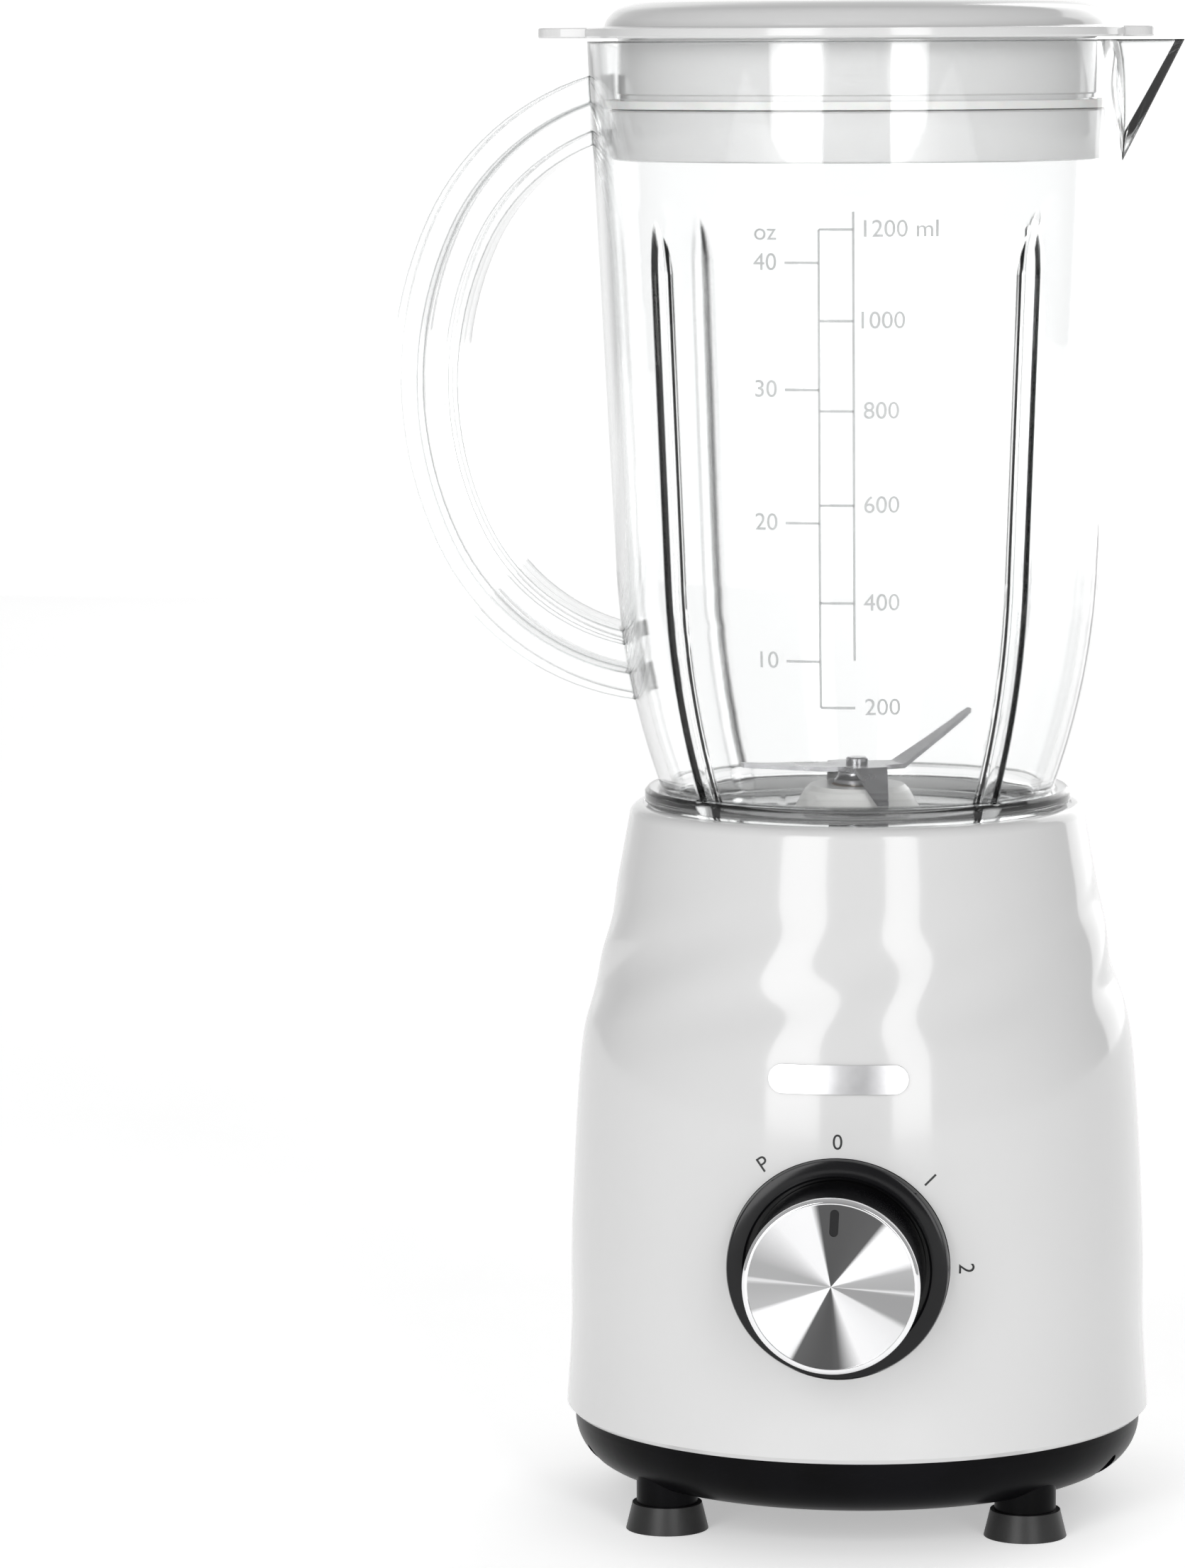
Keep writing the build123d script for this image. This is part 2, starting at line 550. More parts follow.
# ================================================================ bottom_screws
# Four pan-head screws up through the pan's towers into the housing's bosses.
with BuildPart() as bottom_screws:
    with BuildSketch(Plane.XY.offset(SCREW_SEAT_Z)):
        with Locations(*screw_spots):
            Circle(SCREW_HEAD_R)
    extrude(amount=-SCREW_HEAD_H)
    with BuildSketch(Plane.XY.offset(SCREW_SEAT_Z)):
        with Locations(*screw_spots):
            Circle(SCREW_R)
    extrude(amount=SCREW_LEN)
bottom_screws.part.label = "bottom_screws"
export_step(bottom_screws.part, "parts/bottom_screws.step")

# ================================================================ knob_bezel
# A black dish pushed through the front wall from inside. Its rim stands just proud of the wall,
# and its recess takes the back of the knob.
with BuildPart() as knob_bezel:
    with BuildSketch(KNOB_PLANE.offset(BEZEL_FLANGE_Y - BEZEL_FLANGE_T)):
        Circle(BEZEL_R)
    extrude(amount=BEZEL_Y - BEZEL_FLANGE_Y + BEZEL_FLANGE_T)
    fillet(knob_bezel.edges().sort_by(Axis.Y)[0], radius=EDGE_R)
    with BuildSketch(KNOB_PLANE.offset(BEZEL_FLANGE_Y - BEZEL_FLANGE_T)):
        Circle(BEZEL_FLANGE_R)
    extrude(amount=BEZEL_FLANGE_T)
    with BuildSketch(KNOB_PLANE.offset(BEZEL_PLATE_Y)):
        Circle(BEZEL_RECESS_R)
    extrude(amount=2 * BEZEL_RECESS, mode=Mode.SUBTRACT)
    with BuildSketch(KNOB_PLANE.offset(BEZEL_FLANGE_Y - BEZEL_FLANGE_T)):
        Circle(BEZEL_RECESS_R)
    extrude(amount=BEZEL_PLATE_Y - BEZEL_PLATE - BEZEL_FLANGE_Y + BEZEL_FLANGE_T, mode=Mode.SUBTRACT)
    with BuildSketch(KNOB_PLANE.offset(BEZEL_PLATE_Y)):
        Circle(SWITCH_NECK_R)
    extrude(amount=-BEZEL_PLATE, mode=Mode.SUBTRACT)
knob_bezel.part.label = "knob_bezel"
export_step(knob_bezel.part, "parts/knob_bezel.step")

# ================================================================ switch_body
# The rotary switch: a moulded block behind the bezel, and the neck that its shaft turns in.
with BuildPart() as switch_body:
    with BuildSketch(KNOB_PLANE.offset(SWITCH_BACK_Y)):
        RectangleRounded(SWITCH_SIZE, SWITCH_SIZE, SWITCH_CORNER_R)
    extrude(amount=SWITCH_DEPTH)
    with BuildSketch(KNOB_PLANE.offset(SWITCH_FRONT_Y)):
        Circle(SWITCH_NECK_R - PUSHED)
    extrude(amount=BEZEL_PLATE_Y - SWITCH_FRONT_Y)
    with BuildSketch(KNOB_PLANE.offset(SWITCH_FRONT_Y - SHAFT_IN_SWITCH)):
        Circle(SWITCH_SHAFT_R + RUNNING)
    extrude(amount=SHAFT_IN_SWITCH + BEZEL_PLATE_Y - SWITCH_FRONT_Y, mode=Mode.SUBTRACT)
switch_body.part.label = "switch_body"
export_step(switch_body.part, "parts/switch_body.step")

# ================================================================ switch_shaft
with BuildPart() as switch_shaft:
    with BuildSketch(KNOB_PLANE.offset(SWITCH_FRONT_Y - SHAFT_IN_SWITCH + PLAY)):
        Circle(SWITCH_SHAFT_R)
    extrude(amount=KNOB_FACE_Y - 3 * KNOB_WALL - SWITCH_FRONT_Y + SHAFT_IN_SWITCH - PLAY)
switch_shaft.part.label = "switch_shaft"
export_step(switch_shaft.part, "parts/switch_shaft.step")

# ================================================================ knob_barrel
# The knob's black cup: a thin barrel, a front plate and the hub that grips the switch's shaft.
with BuildPart() as knob_barrel:
    with BuildSketch(Plane.YZ):
        with BuildLine():
            front, back = -KNOB_FACE_Y, -KNOB_BACK_Y
            hub_end = back - KNOB_HUB_INSET
            plate = front + KNOB_WALL
            shaft_end = front + 3 * KNOB_WALL
            Polyline(
                (front, KNOB_Z), (front, KNOB_Z + KNOB_R - KNOB_DRAFT), (back, KNOB_Z + KNOB_R),
                (back, KNOB_Z + KNOB_R - KNOB_WALL), (plate, KNOB_Z + KNOB_R - KNOB_WALL),
                (plate, KNOB_Z + KNOB_HUB_R), (hub_end, KNOB_Z + KNOB_HUB_R),
                (hub_end, KNOB_Z + SWITCH_SHAFT_R), (shaft_end, KNOB_Z + SWITCH_SHAFT_R),
                (shaft_end, KNOB_Z), close=True,
            )
        make_face()
    revolve(axis=KNOB_AXIS)
knob_barrel.part.label = "knob_barrel"
export_step(knob_barrel.part, "parts/knob_barrel.step")

# ================================================================ knob_rim
# A bright plated ring with a bevelled edge around the knob's face.
with BuildPart() as knob_rim:
    with BuildSketch(Plane.YZ):
        with BuildLine():
            low_r, high_r = KNOB_R - KNOB_RIM_W, KNOB_R
            Polyline(
                (-KNOB_FACE_Y, KNOB_Z + low_r), (-KNOB_FACE_Y, KNOB_Z + high_r),
                (-KNOB_FRONT_Y + KNOB_RIM_BEVEL, KNOB_Z + high_r),
                (-KNOB_FRONT_Y, KNOB_Z + high_r - KNOB_RIM_BEVEL),
                (-KNOB_FRONT_Y, KNOB_Z + low_r), close=True,
            )
        make_face()
    revolve(axis=KNOB_AXIS)
knob_rim.part.label = "knob_rim"
export_step(knob_rim.part, "parts/knob_rim.step")

# ================================================================ knob_disc
# A turned aluminium disc inside the rim, with a slot for the pointer.
with BuildPart() as knob_disc:
    with BuildSketch(KNOB_PLANE.offset(KNOB_FACE_Y)):
        Circle(KNOB_R - KNOB_RIM_W)
    extrude(amount=KNOB_RIM_H - DISC_RECESS)
    with BuildSketch(KNOB_PLANE.offset(KNOB_FACE_Y)):
        with PolarLocations(POINTER_POS_R, 1, start_angle=90 - POINTER_TURN):
            SlotOverall(POINTER_L, POINTER_W)
    extrude(amount=KNOB_RIM_H, mode=Mode.SUBTRACT)
knob_disc.part.label = "knob_disc"
export_step(knob_disc.part, "parts/knob_disc.step")

# ================================================================ knob_pointer
with BuildPart() as knob_pointer:
    with BuildSketch(KNOB_PLANE.offset(KNOB_FACE_Y)):
        with PolarLocations(POINTER_POS_R, 1, start_angle=90 - POINTER_TURN):
            SlotOverall(POINTER_L, POINTER_W)
    extrude(amount=KNOB_RIM_H - DISC_RECESS - POINTER_SUNK)
knob_pointer.part.label = "knob_pointer"
export_step(knob_pointer.part, "parts/knob_pointer.step")

# ================================================================ badge
# A plain bright plate on the front, curved to the housing's wall.
with BuildPart() as badge:
    with BuildSketch(Plane.XZ):
        with BuildLine():
            near = Spline(*outline(BADGE_GLUE))
            far = Spline(*outline(BADGE_GLUE + BADGE_T))
            Line(near @ 0, far @ 0)
            Line(near @ 1, far @ 1)
        make_face()
    revolve(axis=Axis.Z)
    badge_plane = Plane(origin=(0, 0, BADGE_Z), x_dir=(1, 0, 0), z_dir=(0, -1, 0))
    with BuildSketch(badge_plane.offset(HOUSING_R / 2)):
        SlotOverall(BADGE_L, BADGE_W)
    extrude(amount=HOUSING_R, mode=Mode.INTERSECT)
badge.part.label = "badge"
export_step(badge.part, "parts/badge.step")

# ================================================================ stator_core
# The field laminations: a rounded block with the armature's bore and four windows for the coils.
with BuildPart() as stator_core:
    with BuildSketch(Plane.XY.offset(CORE_LOW_Z)):
        RectangleRounded(STATOR_X, STATOR_Y, STATOR_CORNER_R)
        Circle(ARMATURE_R + AIR_GAP, mode=Mode.SUBTRACT)
    extrude(amount=CORE_H)
    with BuildSketch(Plane.XY.offset(CORE_LOW_Z)):
        Circle(COIL_OUTER_R + PUSHED)
        Circle(COIL_INNER_R - PUSHED, mode=Mode.SUBTRACT)
        far_x = 2 * COIL_OUTER_R * sin(radians(COIL_HALF_ANGLE + COIL_GAP_ANGLE))
        far_y = 2 * COIL_OUTER_R * cos(radians(COIL_HALF_ANGLE + COIL_GAP_ANGLE))
        near_x = 2 * COIL_OUTER_R * sin(radians(COIL_CORE_ANGLE - COIL_GAP_ANGLE))
        near_y = 2 * COIL_OUTER_R * cos(radians(COIL_CORE_ANGLE - COIL_GAP_ANGLE))
        with BuildLine(mode=Mode.PRIVATE) as wedge:
            Polyline((0, 0), (far_x, far_y), (near_x, near_y), close=True)
        window = make_face(wedge.line, mode=Mode.PRIVATE)
        windows = [window, mirror(window, about=Plane.YZ, mode=Mode.PRIVATE)]
        windows += [mirror(w, about=Plane.XZ, mode=Mode.PRIVATE) for w in windows]
        add(windows, mode=Mode.INTERSECT)
    extrude(amount=CORE_H, mode=Mode.SUBTRACT)
stator_core.part.label = "stator_core"
export_step(stator_core.part, "parts/stator_core.step")

# ================================================================ field_coils
# Two enamelled coils, each wound through its windows and around the ends of the core.
with BuildPart() as field_coils:
    edge_x, edge_y = sin(radians(COIL_HALF_ANGLE)), cos(radians(COIL_HALF_ANGLE))
    for turn in (0, 180):
        with BuildSketch(Plane.XY.offset(CORE_LOW_Z - COIL_END_H).rotated((0, 0, turn))):
            with BuildLine():
                RadiusArc(
                    (-COIL_OUTER_R * edge_x, COIL_OUTER_R * edge_y),
                    (COIL_OUTER_R * edge_x, COIL_OUTER_R * edge_y), COIL_OUTER_R,
                )
                Line((COIL_OUTER_R * edge_x, COIL_OUTER_R * edge_y),
                     (COIL_INNER_R * edge_x, COIL_INNER_R * edge_y))
                RadiusArc(
                    (COIL_INNER_R * edge_x, COIL_INNER_R * edge_y),
                    (-COIL_INNER_R * edge_x, COIL_INNER_R * edge_y), -COIL_INNER_R,
                )
                Line((-COIL_INNER_R * edge_x, COIL_INNER_R * edge_y),
                     (-COIL_OUTER_R * edge_x, COIL_OUTER_R * edge_y))
            make_face()
        extrude(amount=CORE_H + 2 * COIL_END_H)
    with BuildSketch(Plane.XY.offset(CORE_LOW_Z - PUSHED)):
        core_x = 2 * COIL_OUTER_R * sin(radians(COIL_CORE_ANGLE))
        core_y = 2 * COIL_OUTER_R * cos(radians(COIL_CORE_ANGLE))
        for side_y in (1, -1):
            with BuildLine():
                Polyline((0, 0), (core_x, side_y * core_y), (-core_x, side_y * core_y), close=True)
            make_face()
    extrude(amount=CORE_H + 2 * PUSHED, mode=Mode.SUBTRACT)
field_coils.part.label = "field_coils"
export_step(field_coils.part, "parts/field_coils.step")

# ================================================================ motor_shaft
with BuildPart() as motor_shaft:
    with BuildSketch(Plane.XY.offset(FAN_LOW_Z - SHAFT_TAIL)):
        Circle(SHAFT_R)
    extrude(amount=COUPLING_SEAT_Z - FAN_LOW_Z + SHAFT_TAIL)
motor_shaft.part.label = "motor_shaft"
export_step(motor_shaft.part, "parts/motor_shaft.step")

# ================================================================ armature_core
# The rotor's laminations, with a slot for each winding.
with BuildPart() as armature_core:
    with BuildSketch(Plane.XY.offset(CORE_LOW_Z)):
        Circle(ARMATURE_R)
        Circle(SHAFT_R, mode=Mode.SUBTRACT)
        with PolarLocations(ARMATURE_R - SLOT_INSET, ARMATURE_SLOTS):
            Rectangle(SLOT_L, SLOT_W, mode=Mode.SUBTRACT)
    extrude(amount=CORE_H)
armature_core.part.label = "armature_core"
export_step(armature_core.part, "parts/armature_core.step")

# ================================================================ armature_windings
with BuildPart() as armature_windings:
    for z in (CORE_TOP_Z, CORE_LOW_Z - WINDING_H):
        with BuildSketch(Plane.XY.offset(z)):
            Circle(WINDING_R)
            Circle(SHAFT_R, mode=Mode.SUBTRACT)
        extrude(amount=WINDING_H)
armature_windings.part.label = "armature_windings"
export_step(armature_windings.part, "parts/armature_windings.step")

# ================================================================ commutator
with BuildPart() as commutator:
    with BuildSketch(Plane.XY.offset(COMMUTATOR_LOW_Z)):
        Circle(COMMUTATOR_R)
        Circle(SHAFT_R, mode=Mode.SUBTRACT)
        with PolarLocations(COMMUTATOR_R, COMMUTATOR_BARS):
            Rectangle(BAR_CUT_L, BAR_CUT_W, mode=Mode.SUBTRACT)
    extrude(amount=COMMUTATOR_H)
commutator.part.label = "commutator"
export_step(commutator.part, "parts/commutator.step")

# ================================================================ cooling_fan
# A moulded fan at the shaft's lower end, which draws air down through the motor.
with BuildPart() as cooling_fan:
    with BuildSketch(Plane.XY.offset(FAN_LOW_Z)):
        Circle(FAN_R)
        Circle(SHAFT_R, mode=Mode.SUBTRACT)
    extrude(amount=FAN_DISC_T)
    with BuildSketch(Plane.XY.offset(FAN_LOW_Z)):
        Circle(2 * SHAFT_R)
        Circle(SHAFT_R, mode=Mode.SUBTRACT)
    extrude(amount=FAN_H)
    with BuildSketch(Plane.XY.offset(FAN_LOW_Z)):
        with PolarLocations((FAN_R + 2 * SHAFT_R) / 2, FAN_BLADES):
            Rectangle(FAN_R - 2 * SHAFT_R - 2 * FAN_BLADE_GAP, FAN_BLADE_T)
    extrude(amount=FAN_H)
cooling_fan.part.label = "cooling_fan"
export_step(cooling_fan.part, "parts/cooling_fan.step")

# ================================================================ upper_bearing, lower_bearing
with BuildPart() as upper_bearing:
    with BuildSketch(Plane.XY.offset(HUB_LOW_Z)):
        Circle(BEARING_R)
        Circle(SHAFT_R + RUNNING, mode=Mode.SUBTRACT)
    extrude(amount=BEARING_H)
upper_bearing.part.label = "upper_bearing"
export_step(upper_bearing.part, "parts/upper_bearing.step")

with BuildPart() as lower_bearing:
    with BuildSketch(Plane.XY.offset(LOWER_HUB_TOP_Z - BEARING_H)):
        Circle(BEARING_R)
        Circle(SHAFT_R + RUNNING, mode=Mode.SUBTRACT)
    extrude(amount=BEARING_H)
lower_bearing.part.label = "lower_bearing"
export_step(lower_bearing.part, "parts/lower_bearing.step")

# ================================================================ upper_bracket
# A cast bridge over the motor: a hub for the bearing, four ears and two legs down to the core.
with BuildPart() as upper_bracket:
    with BuildSketch(Plane.XY.offset(HUB_TOP_Z)):
        Rectangle(2 * POST_X, BRIDGE_W)
        with GridLocations(2 * POST_X, 2 * POST_Y, 2, 2):
            Circle(EAR_R)
    extrude(amount=-EAR_T)
    with BuildSketch(Plane.XY.offset(HUB_TOP_Z)):
        Circle(HUB_R)
    extrude(amount=-HUB_H)
    with BuildSketch(Plane.XY.offset(HUB_TOP_Z)):
        with Locations((-LEG_X, 0), (LEG_X, 0)):
            Rectangle(LEG_T, LEG_W)
    extrude(amount=CORE_TOP_Z - HUB_TOP_Z)
    with BuildSketch(Plane.XY.offset(HUB_LOW_Z)):
        Circle(BEARING_R)
    extrude(amount=BEARING_H, mode=Mode.SUBTRACT)
    with BuildSketch(Plane.XY.offset(HUB_LOW_Z)):
        Circle(SHAFT_R + SHAFT_CLEAR)
    extrude(amount=HUB_H, mode=Mode.SUBTRACT)
    with BuildSketch(Plane.XY.offset(HUB_TOP_Z)):
        with GridLocations(2 * POST_X, 2 * POST_Y, 2, 2):
            Circle(MOTOR_SCREW_R + SCREW_PLAY)
    extrude(amount=-EAR_T, mode=Mode.SUBTRACT)
upper_bracket.part.label = "upper_bracket"
export_step(upper_bracket.part, "parts/upper_bracket.step")

# ================================================================ lower_bracket
# A cast plate under the motor with a hub for the lower bearing and two legs up to the core.
with BuildPart() as lower_bracket:
    with BuildSketch(Plane.XY.offset(LOWER_PLATE_Z)):
        Circle(LOWER_PLATE_R)
        with PolarLocations((LOWER_PLATE_R + HUB_R) / 2, LOWER_VENTS, start_angle=30):
            Circle((LOWER_PLATE_R - HUB_R) / 4, mode=Mode.SUBTRACT)
    extrude(amount=LOWER_PLATE_T)
    with BuildSketch(Plane.XY.offset(LOWER_PLATE_Z)):
        Circle(HUB_R)
    extrude(amount=LOWER_HUB_H)
    with BuildSketch(Plane.XY.offset(LOWER_PLATE_Z)):
        with Locations((-LEG_X, 0), (LEG_X, 0)):
            Rectangle(LEG_T, LEG_W)
    extrude(amount=CORE_LOW_Z - LOWER_PLATE_Z)
    with BuildSketch(Plane.XY.offset(LOWER_HUB_TOP_Z)):
        Circle(BEARING_R)
    extrude(amount=-BEARING_H, mode=Mode.SUBTRACT)
    with BuildSketch(Plane.XY.offset(LOWER_PLATE_Z)):
        Circle(SHAFT_R + SHAFT_CLEAR)
    extrude(amount=LOWER_HUB_H, mode=Mode.SUBTRACT)
lower_bracket.part.label = "lower_bracket"
export_step(lower_bracket.part, "parts/lower_bracket.step")

# ================================================================ motor_dampers, motor_screws
with BuildPart() as motor_dampers:
    with BuildSketch(Plane.XY.offset(HUB_TOP_Z)):
        with GridLocations(2 * POST_X, 2 * POST_Y, 2, 2):
            Circle(DAMPER_R)
            Circle(MOTOR_SCREW_R + SCREW_PLAY, mode=Mode.SUBTRACT)
    extrude(amount=DAMPER_H)
motor_dampers.part.label = "motor_dampers"
export_step(motor_dampers.part, "parts/motor_dampers.step")

with BuildPart() as motor_screws:
    with BuildSketch(Plane.XY.offset(HUB_TOP_Z - EAR_T)):
        with GridLocations(2 * POST_X, 2 * POST_Y, 2, 2):
            Circle(MOTOR_SCREW_HEAD_R)
    extrude(amount=-MOTOR_SCREW_HEAD_H)
    with BuildSketch(Plane.XY.offset(HUB_TOP_Z - EAR_T)):
        with GridLocations(2 * POST_X, 2 * POST_Y, 2, 2):
            Circle(MOTOR_SCREW_R)
    extrude(amount=EAR_T + DAMPER_H + POST_H)
motor_screws.part.label = "motor_screws"
export_step(motor_screws.part, "parts/motor_screws.step")

# ================================================================ brush_holders, carbon_brushes
# Two brass boxes on the lower plate guide the carbon brushes against the commutator.
BRUSH_TIP_X = COMMUTATOR_R + BRUSH_TIP_GAP
HOLDER_X = BRUSH_TIP_X + HOLDER_GAP
with BuildPart() as brush_holders:
    for side_x in (1, -1):
        with BuildSketch(Plane.YZ.offset(side_x * HOLDER_X)):
            with Locations((0, BRUSH_Z)):
                Rectangle(BRUSH_W + 2 * HOLDER_WALL, BRUSH_H + 2 * HOLDER_WALL)
                Rectangle(BRUSH_W, BRUSH_H, mode=Mode.SUBTRACT)
        extrude(amount=side_x * HOLDER_L)
        with BuildSketch(Plane.XY.offset(LOWER_PLATE_Z + LOWER_PLATE_T)):
            with Locations((side_x * (HOLDER_X + HOLDER_L - HOLDER_FOOT_INSET), 0)):
                Rectangle(HOLDER_FOOT_L, BRUSH_W)
        extrude(amount=BRUSH_Z - BRUSH_H / 2 - HOLDER_WALL - LOWER_PLATE_Z - LOWER_PLATE_T)
brush_holders.part.label = "brush_holders"
export_step(brush_holders.part, "parts/brush_holders.step")

with BuildPart() as carbon_brushes:
    for side_x in (1, -1):
        with BuildSketch(Plane.YZ.offset(side_x * BRUSH_TIP_X)):
            with Locations((0, BRUSH_Z)):
                Rectangle(BRUSH_W, BRUSH_H)
        extrude(amount=side_x * BRUSH_L)
carbon_brushes.part.label = "carbon_brushes"
export_step(carbon_brushes.part, "parts/carbon_brushes.step")

# ================================================================ shaft_seal
# A rubber ring in the socket's floor keeps spills off the motor. It clears the turning shaft.
with BuildPart() as shaft_seal:
    with BuildSketch(Plane.XY.offset(SOCKET_UNDER_Z)):
        Circle(SEAL_R)
        Circle(SHAFT_R + PLAY, mode=Mode.SUBTRACT)
    extrude(amount=HOUSING_WALL)
shaft_seal.part.label = "shaft_seal"
export_step(shaft_seal.part, "parts/shaft_seal.step")

# ================================================================ drive_coupling, driven_coupling
# The motor's coupling is a cup with a star-shaped socket. The jug's star drops into it from above.
with BuildPart() as drive_coupling:
    with BuildSketch(Plane.XY.offset(COUPLING_Z)):
        Circle(COUPLING_R)
    extrude(amount=COUPLING_TOP_Z - COUPLING_Z)
    fillet(drive_coupling.edges().sort_by(Axis.Z)[-1], radius=EDGE_R)
    with BuildSketch(Plane.XY.offset(COUPLING_SEAT_Z)):
        Circle(STAR_CORE_R + PLAY)
        with PolarLocations(STAR_R, STAR_LOBES):
            Circle(STAR_LOBE_R + PLAY)
    extrude(amount=COUPLING_DEPTH, mode=Mode.SUBTRACT)
    with BuildSketch(Plane.XY.offset(COUPLING_Z)):
        Circle(SHAFT_R)
    extrude(amount=COUPLING_FLOOR, mode=Mode.SUBTRACT)
drive_coupling.part.label = "drive_coupling"
export_step(drive_coupling.part, "parts/drive_coupling.step")

BLADE_SHAFT_Z = COUPLING_SEAT_Z + 2 * PLAY
with BuildPart() as driven_coupling:
    with BuildSketch(Plane.XY.offset(COUPLING_SEAT_Z + PLAY)):
        Circle(STAR_CORE_R)
        with PolarLocations(STAR_R, STAR_LOBES):
            Circle(STAR_LOBE_R)
    extrude(amount=COUPLING_DEPTH - PLAY)
    with BuildSketch(Plane.XY.offset(COUPLING_TOP_Z)):
        Circle(STAR_CORE_R)
    extrude(amount=STEM_LOW_Z - COUPLING_TOP_Z - PLAY)
    with BuildSketch(Plane.XY.offset(BLADE_SHAFT_Z)):
        Circle(SHAFT_R)
    extrude(amount=COUPLING_DEPTH * 2, mode=Mode.SUBTRACT)
driven_coupling.part.label = "driven_coupling"
export_step(driven_coupling.part, "parts/driven_coupling.step")

# ================================================================ cable_gland, gland_nut
# The mains lead enters through this collar, which a nut holds from inside.
with BuildPart() as cable_gland:
    with BuildSketch(Plane.YZ):
        with BuildLine():
            inner_y, outer_y = GLAND_WALL_R - GLAND_IN, GLAND_WALL_R + GLAND_STEP
            Polyline(
                (inner_y, GLAND_Z + GLAND_BORE_R), (inner_y, GLAND_Z + GLAND_R),
                (outer_y, GLAND_Z + GLAND_R), (outer_y, GLAND_Z + GLAND_COLLAR_R),
                (outer_y + GLAND_COLLAR_T, GLAND_Z + GLAND_COLLAR_R),
                (outer_y + GLAND_NOSE, GLAND_Z + GLAND_R),
                (outer_y + GLAND_NOSE, GLAND_Z + GLAND_BORE_R), close=True,
            )
        make_face()
    revolve(axis=GLAND_AXIS)
cable_gland.part.label = "cable_gland"
export_step(cable_gland.part, "parts/cable_gland.step")

with BuildPart() as gland_nut:
    with BuildSketch(GLAND_PLANE.offset(GLAND_WALL_R - GLAND_NUT_IN)):
        RegularPolygon(GLAND_NUT_R, 6)
        Circle(GLAND_R, mode=Mode.SUBTRACT)
    extrude(amount=GLAND_NUT_T)
gland_nut.part.label = "gland_nut"
export_step(gland_nut.part, "parts/gland_nut.step")

# ================================================================ interlock
# The jug's skirt stands over a spring-loaded plunger. Pressed down, it closes the switch below.
with BuildPart() as interlock_switch:
    with BuildSketch(Plane.XY.offset(MICRO_TOP_Z)):
        with Locations((0, PLUNGER_Y)):
            Rectangle(MICRO_X, MICRO_Y)
        with Locations((-MICRO_POST_X, PLUNGER_Y), (MICRO_POST_X, PLUNGER_Y)):
            Circle(MICRO_SCREW_R + SCREW_PLAY, mode=Mode.SUBTRACT)
    extrude(amount=-MICRO_H)
interlock_switch.part.label = "interlock_switch"
export_step(interlock_switch.part, "parts/interlock_switch.step")

with BuildPart() as interlock_screws:
    with BuildSketch(Plane.XY.offset(MICRO_TOP_Z - MICRO_H)):
        with Locations((-MICRO_POST_X, PLUNGER_Y), (MICRO_POST_X, PLUNGER_Y)):
            Circle(MICRO_SCREW_HEAD_R)
    extrude(amount=-MICRO_SCREW_HEAD_H)
    with BuildSketch(Plane.XY.offset(MICRO_TOP_Z - MICRO_H)):
        with Locations((-MICRO_POST_X, PLUNGER_Y), (MICRO_POST_X, PLUNGER_Y)):
            Circle(MICRO_SCREW_R)
    extrude(amount=MICRO_H + MICRO_SCREW_IN)
interlock_screws.part.label = "interlock_screws"
export_step(interlock_screws.part, "parts/interlock_screws.step")

with BuildPart() as interlock_plunger:
    with BuildSketch(Plane.XY.offset(COLLAR_LOW_Z)):
        with Locations((0, PLUNGER_Y)):
            Circle(PLUNGER_R)
    extrude(amount=SKIRT_LOW_Z - PLAY - COLLAR_LOW_Z)
    with BuildSketch(Plane.XY.offset(COLLAR_LOW_Z)):
        with Locations((0, PLUNGER_Y)):
            Circle(PLUNGER_COLLAR_R)
    extrude(amount=PLUNGER_COLLAR_T)
    with BuildSketch(Plane.XY.offset(PLUNGER_LOW_Z)):
        with Locations((0, PLUNGER_Y)):
            Circle(PLUNGER_R)
    extrude(amount=COLLAR_LOW_Z - PLUNGER_LOW_Z)
interlock_plunger.part.label = "interlock_plunger"
export_step(interlock_plunger.part, "parts/interlock_plunger.step")

with BuildPart() as interlock_spring:
    spring_h = COLLAR_LOW_Z - MICRO_TOP_Z - 2 * (SPRING_WIRE + SPRING_SEAT)
    with BuildLine(Plane(origin=(0, PLUNGER_Y, MICRO_TOP_Z + SPRING_WIRE + SPRING_SEAT))) as coil:
        Helix(pitch=spring_h / SPRING_TURNS, height=spring_h, radius=SPRING_R)
    with BuildSketch(Plane(origin=coil.line @ 0, z_dir=coil.line % 0)):
        Circle(SPRING_WIRE)
    sweep(path=coil.line, is_frenet=True)
interlock_spring.part.label = "interlock_spring"
export_step(interlock_spring.part, "parts/interlock_spring.step")

# ================================================================ jug
# One clear moulding: the tapered wall with four inward flutes, the beak, the foot flange, the skirt
# with its lugs, and a handle of two curved flanges joined by a web.
HANDLE_Z = SEAT_Z + HANDLE_MID_H
FLUTE_TOP_Z = JUG_RIM_Z - FLUTE_TOP_DROP
BEAK_LOW_Z = JUG_RIM_Z - SPOUT_DROP
BEAK_ROOT_X = JUG_TOP_R - SPOUT_ROOT_INSET


def handle_point(depth, angle):
    """A point on the handle's side view, depth in from its outer edge, at an angle from its middle."""
    turned = radians(angle)
    knee = radians(max(-HANDLE_TURN, min(HANDLE_TURN, angle)))
    tail_r = HANDLE_END_R - depth
    knee_r = HANDLE_MID_R - HANDLE_END_R
    if abs(angle) <= HANDLE_TURN:
        tail_r, knee_r = HANDLE_MID_R - depth, 0.0
    centre_x = HANDLE_MID_R - HANDLE_REACH
    return (
        centre_x - knee_r * cos(knee) - tail_r * cos(turned),
        HANDLE_Z + knee_r * sin(knee) + tail_r * sin(turned),
    )


